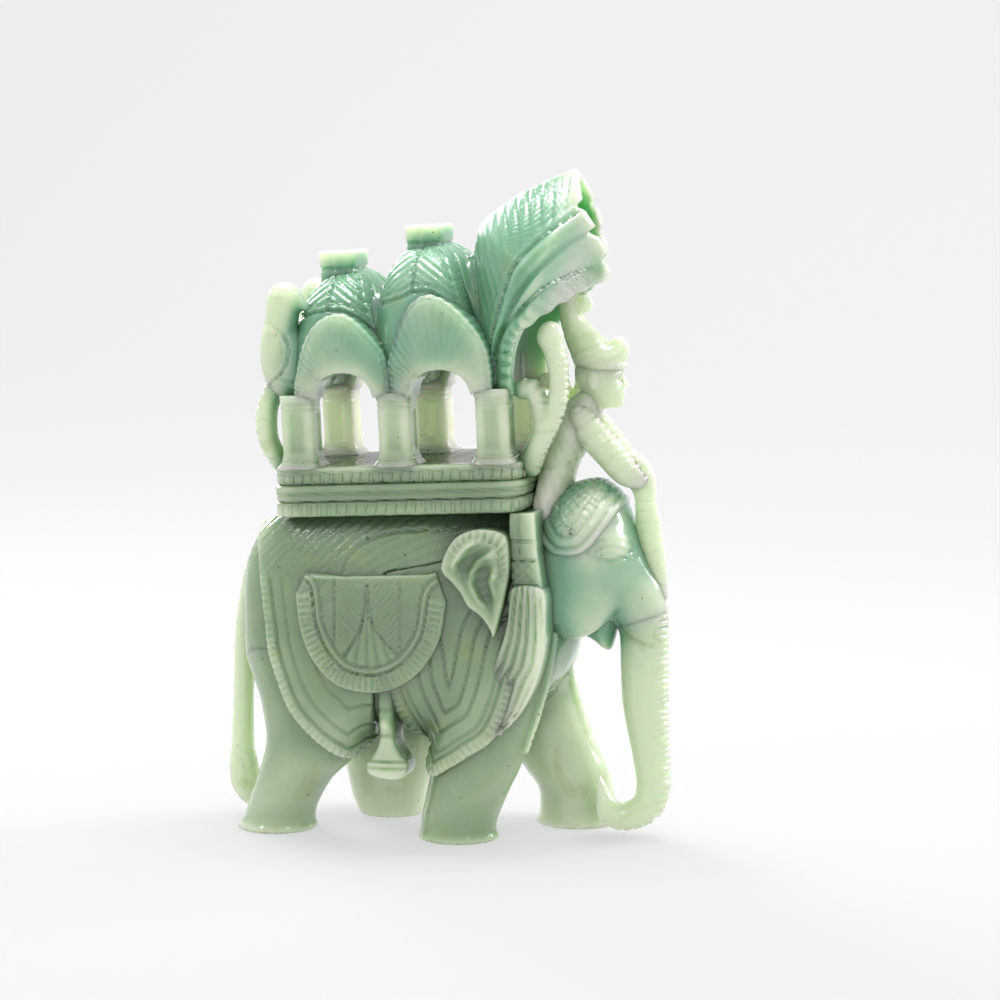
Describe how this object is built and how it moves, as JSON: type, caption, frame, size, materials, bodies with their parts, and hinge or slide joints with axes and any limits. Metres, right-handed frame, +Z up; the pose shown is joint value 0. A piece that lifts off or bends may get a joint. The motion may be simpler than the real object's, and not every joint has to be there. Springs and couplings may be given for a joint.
{
  "type": "carved jade elephant figurine",
  "caption": "Carved green jade elephant, walking, with a domed howdah on its back, a mahout on its neck and a trunk that curls in to the ground.",
  "frame": {"origin": "middle of the bounding box's footprint, on the surface the soles stand on", "axes": "+Z up, +X towards the trunk, -Y the elephant's right flank"},
  "size_m": [0.117, 0.049, 0.1677],
  "materials": {
    "body_jade": "polished, translucent grey-green",
    "deep_jade": "polished, translucent sea-green",
    "thin_jade": "polished, translucent pale yellowish green"
  },
  "bodies": {
    "root": {"bird_left": "thin_jade", "bird_right": "thin_jade", "ear_left": "body_jade", "ear_right": "body_jade", "fore_leg_left": "body_jade", "fore_leg_right": "body_jade", "front_column_left": "deep_jade", "front_column_right": "deep_jade", "front_dome": "deep_jade", "front_finial": "thin_jade", "front_lobe_left": "body_jade", "front_lobe_right": "body_jade", "front_scroll_left": "thin_jade", "front_scroll_right": "thin_jade", "front_valance_left": "deep_jade", "front_valance_right": "deep_jade", "goad": "thin_jade", "head": "body_jade", "head_cap": "body_jade", "hind_leg_left": "body_jade", "hind_leg_right": "body_jade", "lower_jaw": "body_jade", "lower_moulding": "body_jade", "mahout_arm_left": "thin_jade", "mahout_arm_right": "thin_jade", "mahout_head": "thin_jade", "mahout_headdress": "thin_jade", "mahout_torso": "thin_jade", "medallion_left": "body_jade", "medallion_right": "body_jade", "middle_column_left": "deep_jade", "middle_column_right": "deep_jade", "middle_moulding": "body_jade", "neck": "body_jade", "neck_strap_left": "body_jade", "neck_strap_right": "body_jade", "palm_hood_left": "deep_jade", "palm_hood_right": "deep_jade", "platform": "body_jade", "rear_column_left": "deep_jade", "rear_column_right": "deep_jade", "rear_dome": "deep_jade", "rear_finial": "thin_jade", "rear_lobe_left": "body_jade", "rear_lobe_right": "body_jade", "rear_scroll_left": "thin_jade", "rear_scroll_right": "thin_jade", "rear_valance_left": "deep_jade", "rear_valance_right": "deep_jade", "strap_skirt_left": "body_jade", "strap_skirt_right": "body_jade", "tail": "thin_jade", "tassel_left": "body_jade", "tassel_right": "body_jade", "torso": "body_jade", "trunk": "thin_jade", "upper_moulding": "body_jade"}
  },
  "joints": []
}
